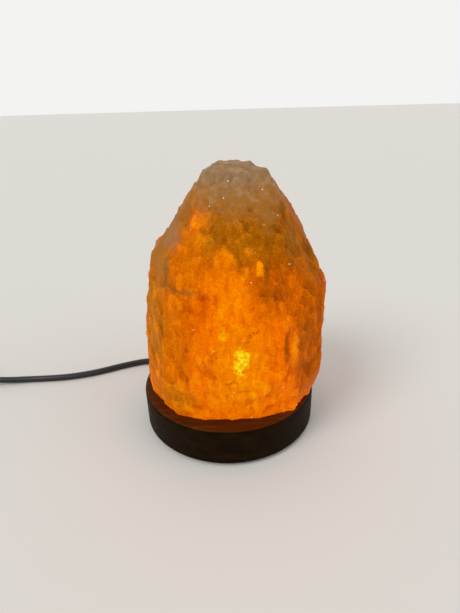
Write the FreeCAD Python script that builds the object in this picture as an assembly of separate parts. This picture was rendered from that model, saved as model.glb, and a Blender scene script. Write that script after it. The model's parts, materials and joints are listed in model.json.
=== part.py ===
import FreeCAD, Part
import math
import os

# Salt crystal lamp: a hollowed rock of salt on a round wooden stand, with a small bulb in a
# holder that springs into the stand from below, and a mains lead with a rocker switch.
# Millimetres, +Z up, front towards -Y. Everything is drawn about the axis of the round stand.
# The rock stands out over the stand on the right, so each node is moved to the left as it is
# saved, and the origin comes to lie on the floor under the middle of the lamp.

os.makedirs("parts", exist_ok=True)
V = FreeCAD.Vector
UP = V(0, 0, 1)

# ---------------------------------------------------------------- clearances
seat_gap = 0.3        # between pieces that are taken apart or move
slip_gap = 0.15       # between round pieces that stay together
run_gap = 0.08        # between a pin and the bore that turns on it

# ---------------------------------------------------------------- wooden stand
foot_height = 2.0
foot_radius = 6.0
foot_circle = 50.0
foot_count = 4
foot_first_angle = -10.0
base_radius = 60.0
base_height = 26.0
base_top_round = 2.2
base_bottom_bevel = 1.2
hole_radius = 22.0
recess_radius = 31.0
groove_width = 10.0
groove_angle = 130.0
groove_room = 1.6         # free height over the cord's boot
base_bottom = foot_height
base_top = base_bottom + base_height

# ---------------------------------------------------------------- salt crystal
crystal_height = 149.0
crystal_shift = 4.0       # how far the crystal's middle lies to the right of the stand's
heart_rise = crystal_height * 0.45    # height of the heart, which the flats are measured from
cavity_radius = 25.0
cavity_depth = 84.0
cavity_dome = 9.0         # rounding at the blind end of the cavity
# Each cleaved flat: the compass angle that it faces, its upward tilt, and its reach from the heart
# as a share of the crystal's height.
foot_flats = ((0, -16, 0.4658), (36, -16, 0.4597), (72, -15, 0.4403), (108, -16, 0.4336),
              (144, -15, 0.4658), (180, -16, 0.4711), (216, -17, 0.4852), (252, -15, 0.4550),
              (288, -16, 0.4497), (324, -17, 0.4758), (270, -16, 0.4376))
belly_flats = ((-12, 0, 0.4000), (24, 2, 0.3933), (60, 1, 0.3758), (96, 3, 0.3658), (134, 1, 0.3758),
               (176, 4.3, 0.3550), (208, 3, 0.3732), (242, 1, 0.3812), (276, 2, 0.3732),
               (312, 1, 0.3987))
shoulder_flats = ((8, 10, 0.3946), (45, 13, 0.3725), (90, 14, 0.3537), (135, 12, 0.3624),
                  (180, 9.5, 0.3530), (220, 12, 0.3691), (262, 14, 0.3611), (308, 13, 0.3826))
slope_flats = ((0, 24, 0.3852), (-8, 32, 0.4000), (50, 29, 0.3826), (95, 31, 0.3718), (140, 33, 0.3792),
               (180, 37.3, 0.3893), (230, 34, 0.3859), (280, 33, 0.3852), (328, 28, 0.3919))
cap_flats = ((0, 66, 0.5356), (180, 57, 0.4859), (270, 63, 0.5154), (90, 60, 0.5034), (45, 55, 0.4866))

# ---------------------------------------------------------------- crystal fixings
screw_count = 3
screw_circle = 36.0
screw_radius = 2.0
screw_head_radius = 4.0
screw_head_height = 2.4
screw_sink = 6.0          # depth of the head's bore in the stand's underside
screw_bite = 20.0         # length of screw inside the crystal
sleeve_wall = 1.2
sleeve_tip = 2.0          # the sleeve runs this far past the screw's end

# ---------------------------------------------------------------- bulb holder
clip_thickness = 0.8
clip_width = 12.0
clip_reach = 28.0         # half length of the strip under the stand
clip_rise = 2.3           # height of the strip above the floor
wing_foot = 17.0          # distance of each wing's root from the axis
wing_height = 27.0
holder_radius = 13.5
holder_wall = 1.6
holder_height = 32.0
cap_wall = 1.3
cap_floor = 1.2
cap_skirt = 6.0           # how far the cap reaches up the shell
block_height = 6.0
block_ledge = 7.0         # height of the ledge in the shell that carries the block
lip_height = 2.0
lip_radius = 9.6
thread_wall = 0.5
thread_height = 15.0
thread_flange = 0.6
tongue_thickness = 0.5
tongue_width = 4.0
tongue_rise = 2.2
terminal_radius = 1.5
terminal_head = 2.4
terminal_place = 7.6
grip_length = 9.0
grip_width = 5.0
grip_height = 2.2
core_radius = 0.9
core_spread = 3.6

# ---------------------------------------------------------------- bulb
screw_cap_radius = 6.95
screw_cap_wall = 0.35
screw_cap_height = 13.5
insulator_height = 2.4
insulator_radius = 3.0
tip_radius = 2.3
tip_height = 1.5
glass_radius = 13.0
glass_wall = 0.6
neck_radius = 6.4
neck_straight = 3.0
glass_shoulder = 12.0
glass_straight = 10.0
glass_sink = 1.5          # how far the glass reaches down into its screw cap
stem_radius = 3.2
stem_height = 14.0
lead_radius = 0.35
lead_spread = 5.0
lead_rise = 8.0
filament_radius = 0.45
filament_rise = 3.0

# ---------------------------------------------------------------- cord
cord_radius = 2.5
boot_length = 20.0
boot_radius = 4.2
boot_end_radius = 3.2
# The lead from the holder's boot to the switch, over the floor.
lead_route = ((-37.6, 44.8, 4.4), (-46.0, 54.6, 2.7), (-55.5, 62.0, 2.6), (-71.5, 65.6, 2.6),
              (-93.2, 58.0, 2.6), (-112.0, 49.0, 2.6), (-134.0, 42.8, 2.6), (-153.0, 41.4, 2.6),
              (-168.0, 40.8, 2.8), (-181.0, 39.0, 3.6))
coil_turns = 3.5          # turns in each of the two layers
coil_inner_radius = 20.5
coil_step = 5.5           # from one turn to the next, and from one layer to the next
tie_thickness = 0.5
tie_width = 6.0
# The tail from the coil to the plug, from the coil's end: sideways, so that the plug's pins
# point past the stand.
tail_route = ((24.0, -4.0, 6.8), (38.0, -14.0, 4.8), (52.0, -25.0, 4.4), (65.0, -31.6, 5.6))

# ---------------------------------------------------------------- in-line switch
switch_length = 62.0
switch_width = 26.0
switch_height = 16.0
switch_wall = 1.8
switch_corner = 7.0
switch_edge = 1.6
switch_seam = 5.0         # height of the seam, on the cord's axis
grommet_length = 16.0
grommet_radius = 4.2
grommet_end_radius = 3.2
grommet_root = 3.0        # length of the grommet inside the housing
lead_end_x = -201.0       # where the lead meets the switch's grommet
lead_end_y = 37.6
rocker_length = 18.0
rocker_width = 10.0
rocker_depth = 5.0
rocker_throw = 16.0       # whole swing from on to off, in degrees
pivot_drop = 3.2          # the pivot's axis under the housing's top
pin_radius = 1.0
ear_thickness = 1.6
case_screw_radius = 1.4
case_screw_head = 2.4
case_screw_x = 20.0
case_screw_y = 7.4
boss_radius = 2.9
contact_thickness = 0.6
contact_width = 5.0
contact_length = 13.0

# ---------------------------------------------------------------- mains plug
plug_length = 34.0
plug_width = 35.0
plug_tail_width = 13.0
plug_nose = 13.0          # length of the full-width part behind the pins' face
plug_thickness = 13.7
plug_edge = 2.4
prong_radius = 2.0
prong_length = 19.0
prong_spacing = 18.6
sleeve_length = 10.0
prong_sleeve_radius = 1.7
relief_length = 22.0
relief_radius = 4.6
relief_end_radius = 3.2


# ---------------------------------------------------------------- helpers
def save(name, shape):
    """Write a node, moved so that the origin is under the middle of the lamp."""
    shape = shape.translated(V(-lamp_middle, 0, 0))
    shape.exportStep("parts/%s.step" % name)
    print("%-18s %9.1f mm3 %3d solid(s)" % (name, shape.Volume, len(shape.Solids)))


def disc(radius, low, high, x=0.0, y=0.0):
    return Part.makeCylinder(radius, high - low, V(x, y, low))


def taper(low_radius, high_radius, low, high, x=0.0, y=0.0):
    return Part.makeCone(low_radius, high_radius, high - low, V(x, y, low))


def block(low, high):
    size = V(*high) - V(*low)
    return Part.makeBox(size.x, size.y, size.z, V(*low))


def bored(shape, *tools):
    for tool in tools:
        shape = shape.cut(tool)
    return shape


def spun(edges):
    return Part.Face(Part.Wire(edges)).revolve(V(0, 0, 0), UP, 360)


def line(a, b):
    return Part.makeLine(V(*a), V(*b))


def arc(a, b, c):
    return Part.Arc(V(*a), V(*b), V(*c)).toShape()


def around(count, first, radius):
    """Places of copies spread evenly on a circle."""
    for k in range(count):
        angle = math.radians(first + 360.0 * k / count)
        yield radius * math.cos(angle), radius * math.sin(angle)


def flats_cut(solid, heart, flats):
    """Cleave flats off a solid."""
    reach_all = crystal_height * 3
    for angle, tilt, reach in flats:
        a = math.radians(angle)
        t = math.radians(tilt)
        normal = V(math.cos(t) * math.cos(a), math.cos(t) * math.sin(a), math.sin(t))
        depth = reach * crystal_height
        waste = Part.makeBox(reach_all, reach_all, reach_all, V(-reach_all / 2, -reach_all / 2, depth))
        waste.Placement = FreeCAD.Placement(heart, FreeCAD.Rotation(UP, normal))
        solid = solid.cut(waste)
    return solid


def strip(points, thickness, width):
    """A bent strip: its middle line lies in the XZ plane, its width along Y."""
    sides = ([], [])
    for i, point in enumerate(points):
        before = V(*point) - V(*points[max(i - 1, 0)])
        after = V(*points[min(i + 1, len(points) - 1)]) - V(*point)
        ways = [w.normalize() for w in (before, after) if w.Length > 1e-9]
        way = (ways[0] + ways[-1]).normalize()
        half = thickness / 2 / way.dot(ways[0])
        out = V(-way.z, 0, way.x) * half
        sides[0].append(V(*point) + out)
        sides[1].append(V(*point) - out)
    outline = sides[0] + sides[1][::-1]
    for corner in outline:
        corner.y = -width / 2
    face = Part.Face(Part.makePolygon(outline + outline[:1]))
    return face.extrude(V(0, width, 0))


def cord_wire(points, label):
    """Straight runs joined by arcs as large as the runs allow."""
    points = [V(*p) for p in points]
    edges = []
    start = points[0]
    radii = []
    for i in range(1, len(points) - 1):
        back = points[i - 1] - points[i]
        ahead = points[i + 1] - points[i]
        trim = 0.45 * min(back.Length, ahead.Length)
        turn = math.pi - back.getAngle(ahead)
        radii.append(trim / math.tan(turn / 2))
        a = points[i] + V(back).normalize() * trim
        b = points[i] + V(ahead).normalize() * trim
        middle = (a + b) * 0.5
        inward = (middle - points[i]).normalize()
        to_centre = radii[-1] / math.cos(turn / 2)
        top = points[i] + inward * (to_centre - radii[-1])
        edges.append(Part.LineSegment(start, a).toShape())
        edges.append(Part.Arc(a, top, b).toShape())
        start = b
    edges.append(Part.LineSegment(start, points[-1]).toShape())
    print("%s: least bend radius %.1f mm" % (label, min(radii)))
    return Part.Wire(edges)


def tube(wire, label):
    edge = wire.Edges[0]
    way = edge.tangentAt(edge.FirstParameter)
    ring = Part.Wire(Part.makeCircle(cord_radius, edge.valueAt(edge.FirstParameter), way))
    solid = wire.makePipeShell([ring], True, False)
    share = solid.Volume / (math.pi * cord_radius ** 2 * wire.Length)
    print("%s: %.1f mm long, volume %.4f of section times length" % (label, wire.Length, share))
    return solid


def biarc(p, p_way, q, q_way):
    """Two arcs that join two points with given directions."""
    chord = q - p
    ways = p_way + q_way
    spread = 2 * (1 - p_way.dot(q_way))
    reach = chord.dot(ways)
    size = (-reach + math.sqrt(reach ** 2 + spread * chord.dot(chord))) / spread
    joint = (p + q + (p_way - q_way) * size) * 0.5
    return [arc_from(p, p + p_way * size, joint), arc_from(joint, q - q_way * size, q)]


def arc_from(a, corner, b):
    middle = (a + b) * 0.5
    half = (a - middle).Length
    rise = corner - middle
    bulge = half * math.tan(math.atan2(rise.Length, half) / 2)
    return Part.Arc(a, middle + V(rise).normalize() * bulge, b).toShape()


# ---------------------------------------------------------------- wooden stand
screw_first_angle = groove_angle + 180.0 / screw_count
strip_top = clip_rise + clip_thickness
recess_top = strip_top + seat_gap
exit_height = strip_top + cap_floor + cord_radius + seat_gap    # the cord's axis at the holder
groove_top = exit_height + boot_radius + groove_room
way_out = V(math.cos(math.radians(groove_angle)), math.sin(math.radians(groove_angle)), 0)


def along_groove(shape):
    """Turn something laid along +X so that it lies along the cord's groove."""
    return shape.rotated(V(0, 0, 0), UP, groove_angle)


def rim_edges(solid, radius, height):
    for edge in solid.Edges:
        curve = edge.Curve
        if isinstance(curve, Part.Circle) and abs(curve.Radius - radius) < 1e-6:
            if abs(curve.Center.z - height) < 1e-6:
                yield edge


def wooden_base():
    wood = disc(base_radius, base_bottom, base_top)
    wood = wood.makeFillet(base_top_round, list(rim_edges(wood, base_radius, base_top)))
    wood = wood.makeChamfer(base_bottom_bevel, list(rim_edges(wood, base_radius, base_bottom)))
    groove = block((0, -groove_width / 2, base_bottom - 1), (base_radius + 1, groove_width / 2, groove_top))
    wood = bored(
        wood,
        disc(hole_radius, base_bottom - 1, base_top + 1),
        disc(recess_radius, base_bottom - 1, recess_top),
        along_groove(groove),
    )
    for x, y in around(screw_count, screw_first_angle, screw_circle):
        sink_top = base_bottom + screw_sink
        wood = bored(
            wood,
            disc(screw_head_radius + 0.5, base_bottom - 1, sink_top, x, y),
            taper(screw_head_radius + slip_gap, screw_radius + slip_gap,
                  sink_top, sink_top + screw_head_height, x, y),
            disc(screw_radius + slip_gap, sink_top, base_top + 1, x, y),
        )
    return wood


def rubber_feet():
    feet = []
    for x, y in around(foot_count, foot_first_angle, foot_circle):
        foot = taper(foot_radius - 0.6, foot_radius, 0, foot_height, x, y)
        feet.append(foot)
    return Part.makeCompound(feet)


# ---------------------------------------------------------------- salt crystal
cavity_top = base_top + cavity_depth
screw_end = base_top + screw_bite
sleeve_end = screw_end + sleeve_tip
sleeve_radius = screw_radius + slip_gap + sleeve_wall


def cavity():
    straight = cavity_top - cavity_dome
    turn = math.sqrt(0.5) * cavity_dome
    inner = cavity_radius - cavity_dome
    edges = [
        line((0, 0, base_top - 1), (cavity_radius, 0, base_top - 1)),
        line((cavity_radius, 0, base_top - 1), (cavity_radius, 0, straight)),
        arc((cavity_radius, 0, straight), (inner + turn, 0, straight + turn), (inner, 0, cavity_top)),
        line((inner, 0, cavity_top), (0, 0, cavity_top)),
        line((0, 0, cavity_top), (0, 0, base_top - 1)),
    ]
    return spun(edges)


def salt_crystal():
    rough = crystal_height * 0.6
    heart = V(crystal_shift, 0, base_top + heart_rise)
    rock = block((-rough, -rough, base_top), (rough, rough, base_top + crystal_height))
    for flats in (foot_flats, belly_flats, shoulder_flats, slope_flats, cap_flats):
        rock = flats_cut(rock, heart, flats)
    rock = rock.cut(cavity())
    for x, y in around(screw_count, screw_first_angle, screw_circle):
        rock = rock.cut(disc(sleeve_radius + slip_gap, base_top - 1, sleeve_end, x, y))
    return rock


def crystal_screws():
    screws = []
    low = base_bottom + screw_sink
    for x, y in around(screw_count, screw_first_angle, screw_circle):
        head = taper(screw_head_radius, screw_radius, low, low + screw_head_height, x, y)
        shank = disc(screw_radius, low, screw_end - screw_radius * 2, x, y)
        point = taper(screw_radius, 0.3, screw_end - screw_radius * 2, screw_end, x, y)
        cross = Part.makeBox(0.9, 4.4, 1.4, V(x - 0.45, y - 2.2, low))
        turned = cross.rotated(V(x, y, low), UP, 90)
        screws.append(bored(head.fuse([shank, point]), cross, turned))
    return Part.makeCompound(screws)


def screw_sleeves():
    sleeves = []
    for x, y in around(screw_count, screw_first_angle, screw_circle):
        sleeve = disc(sleeve_radius, base_top, sleeve_end, x, y)
        bore = disc(screw_radius + slip_gap, base_top - 1, screw_end + 0.5, x, y)
        sleeves.append(sleeve.cut(bore))
    return Part.makeCompound(sleeves)


crystal = salt_crystal()
lamp_middle = (max(corner.X for corner in crystal.Vertexes) - base_radius) / 2
print("the stand's axis is %.2f mm left of the origin" % lamp_middle)
save("wooden_base", wooden_base())
save("rubber_feet", rubber_feet())
save("salt_crystal", crystal)
save("crystal_screws", crystal_screws())
save("screw_sleeves", screw_sleeves())

# ---------------------------------------------------------------- bulb holder
cap_low = strip_top
cap_radius = holder_radius + slip_gap + cap_wall
shell_low = exit_height + cord_radius + seat_gap
cap_top = shell_low + cap_skirt
shell_top = shell_low + holder_height
shell_bore = holder_radius - holder_wall
ledge_bore = shell_bore - 2.0
block_low = shell_low + block_ledge
block_top = block_low + block_height
thread_bore = screw_cap_radius + seat_gap
thread_radius = thread_bore + thread_wall
thread_top = block_top + thread_height


def spring_clip():
    flat = block((-clip_reach, -clip_width / 2, clip_rise), (clip_reach, clip_width / 2, strip_top))
    half = clip_thickness / 2
    wing_width = clip_width * 0.7
    press = math.sqrt((hole_radius - seat_gap) ** 2 - (wing_width / 2) ** 2) - half
    root = clip_rise + half
    path = (
        (wing_foot, 0, root),
        (wing_foot + 0.4, 0, root + wing_height * 0.28),
        (press, 0, root + wing_height * 0.62),
        (press, 0, root + wing_height * 0.72),
        (wing_foot + 1.0, 0, root + wing_height),
    )
    wing = strip(path, clip_thickness, wing_width)
    other = wing.mirror(V(0, 0, 0), V(1, 0, 0))
    return flat.fuse([wing, other]).removeSplitter()


def holder_cap():
    cup = disc(cap_radius, cap_low, cap_top)
    room = disc(ledge_bore, cap_low + cap_floor, cap_top + 1)
    seat = disc(holder_radius + slip_gap, shell_low, cap_top + 1)
    entry = Part.makeCylinder(cord_radius + slip_gap, cap_radius + 1, V(0, 0, exit_height), V(1, 0, 0))
    side = (ledge_bore - 2, -cap_radius, cap_low), (cap_radius + 1, cap_radius, cap_top)
    door = entry.common(block(*side))
    return bored(cup, room, seat, along_groove(door))


def holder_shell():
    wall = disc(holder_radius, shell_low, shell_top)
    low_bore = disc(ledge_bore, shell_low - 1, block_low)
    bore = disc(shell_bore, block_low, shell_top - lip_height)
    mouth = disc(lip_radius, shell_top - lip_height, shell_top + 1)
    return bored(wall, low_bore, bore, mouth)


def contact_block():
    puck = disc(shell_bore - slip_gap, block_low, block_top)
    for side in (-1, 1):
        x = side * terminal_place
        puck = bored(
            puck,
            disc(terminal_radius + slip_gap, block_low - 1, block_top - 1.6, x, 0),
            disc(core_radius + slip_gap, block_low - 1, block_top - 1.6, side * core_spread, 0),
        )
    return puck


def thread_shell():
    tube_wall = disc(thread_radius, block_top, thread_top)
    flange = disc(shell_bore - slip_gap, block_top, block_top + thread_flange)
    clear_tongue = disc(thread_bore, block_top - 1, thread_top + 1)
    return tube_wall.fuse(flange).cut(clear_tongue)


def centre_contact():
    low = block_top + tongue_thickness / 2
    path = (
        (-thread_bore + 1.0, 0, low),
        (-1.8, 0, low),
        (-0.6, 0, low + tongue_rise),
        (2.2, 0, low + tongue_rise),
        (3.6, 0, low + tongue_rise * 0.55),
    )
    return strip(path, tongue_thickness, tongue_width)


def terminal_screws():
    screws = []
    for side in (-1, 1):
        x = side * terminal_place
        shank = disc(terminal_radius, block_low, block_top - 2.0, x, 0)
        head = disc(terminal_head * 0.5 + 0.6, block_low - 1.4, block_low, x, 0)
        slot = block((x - 2.5, -0.3, block_low - 1.5), (x + 2.5, 0.3, block_low - 0.8))
        screws.append(head.fuse(shank).cut(slot))
    return Part.makeCompound(screws)


def core_wires():
    """The two cores, from the cord grip up into the terminals."""
    low = cap_low + cap_floor + grip_height
    wires = []
    for side in (-1, 1):
        wires.append(disc(core_radius, low, block_top - 2.0, side * core_spread, 0))
    return Part.makeCompound(wires)


def cord_grip():
    low = cap_low + cap_floor
    bar = block((-grip_length / 2, -grip_width / 2, low),
                (grip_length / 2, grip_width / 2, low + grip_height))
    return bar.makeFillet(0.6, [e for e in bar.Edges if abs(e.Vertexes[0].Z - e.Vertexes[1].Z) > 1])


def cord_boot():
    """Tapered rubber sleeve where the cord leaves the holder."""
    root = Part.makeCone(boot_radius, boot_end_radius, boot_length, V(cap_radius, 0, exit_height), V(1, 0, 0))
    inside = ledge_bore - 3.0
    plug = Part.makeCylinder(cord_radius, cap_radius - inside, V(inside, 0, exit_height), V(1, 0, 0))
    seat = disc(cap_radius, 0, cap_top)
    return along_groove(root.cut(seat).fuse(plug))


save("spring_clip", spring_clip())
save("holder_cap", holder_cap())
save("holder_shell", holder_shell())
save("contact_block", contact_block())
save("thread_shell", thread_shell())
save("centre_contact", centre_contact())
save("terminal_screws", terminal_screws())
save("core_wires", core_wires())
save("cord_grip", cord_grip())
save("cord_boot", cord_boot())

# ---------------------------------------------------------------- bulb
tip_low = block_top + tongue_rise + tongue_thickness + seat_gap
insulator_low = tip_low + tip_height
screw_cap_low = insulator_low + insulator_height
screw_cap_top = screw_cap_low + screw_cap_height
glass_low = screw_cap_top - glass_sink
glass_top = glass_low + neck_straight + glass_shoulder + glass_straight + glass_radius
stem_low = glass_low
stem_top = stem_low + stem_height
lead_top = stem_top + lead_rise


def bulb_tip():
    low = tip_low
    button = disc(tip_radius, low, insulator_low)
    return button.makeFillet(tip_height * 0.6, list(rim_edges(button, tip_radius, low)))


def bulb_insulator():
    return taper(insulator_radius, screw_cap_radius - 0.9, insulator_low, screw_cap_low)


def bulb_screw_cap():
    """A thin brass cup with a rolled thread, drawn as even ridges, and a flared collar."""
    pitch = 2.82
    depth = 0.35
    rings = 3
    cup = disc(screw_cap_radius - depth, screw_cap_low, screw_cap_top)
    for k in range(rings):
        low = screw_cap_low + 1.6 + pitch * k
        ridge = taper(screw_cap_radius - depth, screw_cap_radius, low, low + pitch * 0.35)
        fall = taper(screw_cap_radius, screw_cap_radius - depth, low + pitch * 0.35, low + pitch * 0.7)
        cup = cup.fuse([ridge, fall])
    bore = disc(neck_radius + slip_gap, screw_cap_low + screw_cap_wall, screw_cap_top + 1)
    return cup.cut(bore)


def glass_outline(inset, low):
    neck = neck_radius - inset
    belly = glass_radius - inset
    shoulder_low = glass_low + neck_straight
    shoulder_top = shoulder_low + glass_shoulder
    dome_low = shoulder_top + glass_straight
    turn = math.sqrt(0.5)
    half = (neck + belly) / 2
    mid = (shoulder_low + shoulder_top) / 2
    bow = 0.9
    return [
        line((0, 0, low), (neck, 0, low)),
        line((neck, 0, low), (neck, 0, shoulder_low)),
        arc((neck, 0, shoulder_low), (neck + 0.8, 0, (shoulder_low + mid) / 2 + bow), (half, 0, mid)),
        arc((half, 0, mid), (belly - 0.8, 0, (shoulder_top + mid) / 2 - bow), (belly, 0, shoulder_top)),
        line((belly, 0, shoulder_top), (belly, 0, dome_low)),
        arc((belly, 0, dome_low), (belly * turn, 0, dome_low + belly * turn), (0, 0, dome_low + belly)),
        line((0, 0, dome_low + belly), (0, 0, low)),
    ]


def bulb_glass():
    return spun(glass_outline(0, glass_low)).cut(spun(glass_outline(glass_wall, glass_low - 1)))


def lead_wires():
    wires = []
    for side in (-1, 1):
        foot = V(side * stem_radius * 0.5, 0, stem_low + 2)
        bend = V(side * stem_radius * 0.5, 0, stem_top + 1)
        top = V(side * lead_spread, 0, lead_top)
        straight = Part.makeCylinder(lead_radius, (bend - foot).Length, foot, bend - foot)
        slanted = Part.makeCylinder(lead_radius, (top - bend).Length, bend, top - bend)
        knee = Part.makeSphere(lead_radius, bend)
        wires.append(straight.fuse([slanted, knee]))
    return Part.makeCompound(wires)


def glass_stem():
    flare = taper(neck_radius - glass_wall - slip_gap, stem_radius, stem_low, stem_low + 4)
    rod = disc(stem_radius, stem_low + 4, stem_top)
    return flare.fuse(rod).cut(lead_wires())


def filament():
    """The coiled wire, drawn as a slack round arch between the leads."""
    path = Part.Wire(arc((-lead_spread, 0, lead_top), (0, 0, lead_top + filament_rise),
                         (lead_spread, 0, lead_top)))
    edge = path.Edges[0]
    start = edge.FirstParameter
    ring = Part.makeCircle(filament_radius, edge.valueAt(start), edge.tangentAt(start))
    return path.makePipeShell([Part.Wire(ring)], True, False).cut(lead_wires())


save("bulb_tip", bulb_tip())
save("bulb_insulator", bulb_insulator())
save("bulb_screw_cap", bulb_screw_cap())
save("bulb_glass", bulb_glass())
save("glass_stem", glass_stem())
save("lead_wires", lead_wires())
save("filament", filament())

# ---------------------------------------------------------------- in-line switch
switch_x = lead_end_x - grommet_length - switch_length / 2
switch_y = lead_end_y
pivot_height = switch_height - pivot_drop


def on_switch(shape):
    return shape.translated(V(switch_x, switch_y, 0))


def housing(inset, low, high):
    length = switch_length - inset * 2
    width = switch_width - inset * 2
    body = block((-length / 2, -width / 2, low), (length / 2, width / 2, high))
    uprights = [e for e in body.Edges if abs(e.Vertexes[0].Z - e.Vertexes[1].Z) > 1]
    return body.makeFillet(switch_corner - inset, uprights)


def grommet_channels(radius):
    root = switch_length / 2 - grommet_root - slip_gap
    ends = []
    for side in (-1, 1):
        start = V(side * root, 0, switch_seam)
        ends.append(Part.makeCylinder(radius, grommet_root + 1, start, V(side, 0, 0)))
    return ends


def screw_places():
    return ((-case_screw_x, case_screw_y), (case_screw_x, -case_screw_y))


def switch_bottom():
    solid = housing(0, 0, switch_seam)
    rim = [e for e in solid.Edges if abs(e.Vertexes[0].Z) < 1e-6 and abs(e.Vertexes[-1].Z) < 1e-6]
    solid = solid.makeChamfer(switch_edge * 0.5, rim)
    solid = solid.cut(housing(switch_wall, switch_wall, switch_seam + 1))
    for x, y in screw_places():
        solid = solid.fuse(disc(boss_radius, 0, switch_seam, x, y))
    for x, y in screw_places():
        solid = bored(
            solid,
            disc(case_screw_head + slip_gap, -1, 2.0, x, y),
            disc(case_screw_radius + slip_gap, -1, switch_seam + 1, x, y),
        )
    return bored(solid, *grommet_channels(grommet_radius * 0.8 + slip_gap))


def switch_top():
    solid = housing(0, switch_seam, switch_height)
    rim = [e for e in solid.Edges if min(v.Z for v in e.Vertexes) > switch_height - 1e-6]
    solid = solid.makeFillet(switch_edge, rim)
    solid = solid.cut(housing(switch_wall, switch_seam - 1, switch_height - switch_wall))
    for x, y in screw_places():
        solid = solid.fuse(disc(boss_radius, switch_seam, switch_height - switch_wall, x, y))
    for x, y in screw_places():
        solid = solid.cut(disc(case_screw_radius + slip_gap, 0, switch_height - switch_wall - 1.5, x, y))
    frame_x = rocker_length / 2 + seat_gap * 2
    frame_y = rocker_width / 2 + seat_gap
    collar = block((-frame_x - 1.2, -frame_y - ear_thickness, switch_height - rocker_depth - 0.5),
                   (frame_x + 1.2, frame_y + ear_thickness, switch_height - switch_wall))
    window = block((-frame_x, -frame_y, switch_seam), (frame_x, frame_y, switch_height + 1))
    pin_hole = Part.makeCylinder(pin_radius, switch_width, V(0, -switch_width / 2, pivot_height), V(0, 1, 0))
    inside = housing(switch_wall, switch_seam - 1, switch_height - switch_wall)
    pin_hole = pin_hole.common(inside.fuse(collar))
    return bored(solid.fuse(collar), window, pin_hole, *grommet_channels(grommet_radius * 0.8 + slip_gap))


def switch_rocker():
    """Seen from the side a shallow V, pressed down at the end towards the lamp."""
    half = rocker_length / 2
    points = (
        (-half, 0, -0.6), (-half + 0.5, 0, 4.6), (0, 0, 3.3), (half - 0.5, 0, 4.6),
        (half, 0, -0.6), (half * 0.55, 0, -2.6), (-half * 0.55, 0, -2.6),
    )
    outline = [V(x, -rocker_width / 2, z) for x, y, z in points]
    key = Part.Face(Part.makePolygon(outline + outline[:1])).extrude(V(0, rocker_width, 0))
    bore_start = V(0, -rocker_width / 2 - 1, 0)
    bore = Part.makeCylinder(pin_radius + run_gap, rocker_width + 2, bore_start, V(0, 1, 0))
    key = key.cut(bore).rotated(V(0, 0, 0), V(0, 1, 0), rocker_throw / 2)
    return key.translated(V(0, 0, pivot_height))


def rocker_pin():
    half = rocker_width / 2 + seat_gap + ear_thickness
    return Part.makeCylinder(pin_radius, half * 2, V(0, -half, pivot_height), V(0, 1, 0))


def switch_contacts():
    plates = []
    for side in (-1, 1):
        near = side * 4.0
        far = side * (4.0 + contact_length)
        low = switch_wall + contact_thickness / 2
        path = ((near, 0, low + 4.0), (near, 0, low), (far, 0, low), (far, 0, low + 2.4))
        plates.append(strip(path, contact_thickness, contact_width))
    return Part.makeCompound(plates)


def case_screws():
    screws = []
    for x, y in screw_places():
        head = disc(case_screw_head, 0.5, 2.0, x, y)
        shank = disc(case_screw_radius, 0.5, switch_height - switch_wall - 2.5, x, y)
        slot = block((x - 3, y - 0.35, 0.4), (x + 3, y + 0.35, 1.1))
        screws.append(head.fuse(shank).cut(slot))
    return Part.makeCompound(screws)


def switch_grommets():
    sleeves = []
    end = switch_length / 2
    for side in (-1, 1):
        cone = Part.makeCone(grommet_radius, grommet_end_radius, grommet_length,
                             V(side * end, 0, switch_seam), V(side, 0, 0))
        neck = Part.makeCylinder(grommet_radius * 0.8, grommet_root,
                                 V(side * (end - grommet_root), 0, switch_seam), V(side, 0, 0))
        sleeves.append(cone.fuse(neck))
    return Part.makeCompound(sleeves)


save("switch_bottom", on_switch(switch_bottom()))
save("switch_top", on_switch(switch_top()))
save("switch_rocker", on_switch(switch_rocker()))
save("rocker_pin", on_switch(rocker_pin()))
save("switch_contacts", on_switch(switch_contacts()))
save("case_screws", on_switch(case_screws()))
save("switch_grommets", on_switch(switch_grommets()))

# ---------------------------------------------------------------- cord
straight_end = cord_radius * 2
coil_outer_radius = coil_inner_radius + (coil_turns + 0.25) * coil_step
coil_low = tie_thickness + seat_gap + cord_radius
link_start = V(switch_x - switch_length / 2 - grommet_length, switch_y, switch_seam)
link_length = 26.0
tail_reach = 84.0         # from the end of the coil to the plug's relief
tail_aside = -32.4
coil_centre = V(link_start.x - link_length - straight_end, switch_y - coil_outer_radius, 0)
boot_end = along_groove(Part.Vertex(cap_radius + boot_length, 0, exit_height)).Point


def cord_lead():
    straight = boot_end + way_out * 8.0
    route = [tuple(boot_end), tuple(straight)]
    route += lead_route
    route += [(lead_end_x + 9.0, lead_end_y, switch_seam), (lead_end_x, lead_end_y, switch_seam)]
    return tube(cord_wire(route, "cord_lead"), "cord_lead")


def cord_link():
    x, y, z = link_start
    route = (
        (x, y, z), (x - 8.5, y, z), (x - link_length + 8.5, y, coil_low), (x - link_length, y, coil_low),
    )
    return tube(cord_wire(route, "cord_link"), "cord_link")


def coil_place(turn):
    """Point and direction of the coil after some turns: in, up, and out again."""
    radius = coil_inner_radius + coil_step * abs(turn - coil_turns - 0.25)
    rise = min(max((turn - coil_turns) / 0.5, 0.0), 1.0)
    height = coil_low + coil_step * (3 * rise ** 2 - 2 * rise ** 3)
    angle = math.pi / 2 + 2 * math.pi * turn
    spoke = V(math.cos(angle), math.sin(angle), 0)
    return coil_centre + spoke * radius + UP * height


def coil_way(turn):
    small = 1e-4
    return (coil_place(turn + small) - coil_place(turn - small)).normalize()


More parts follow.
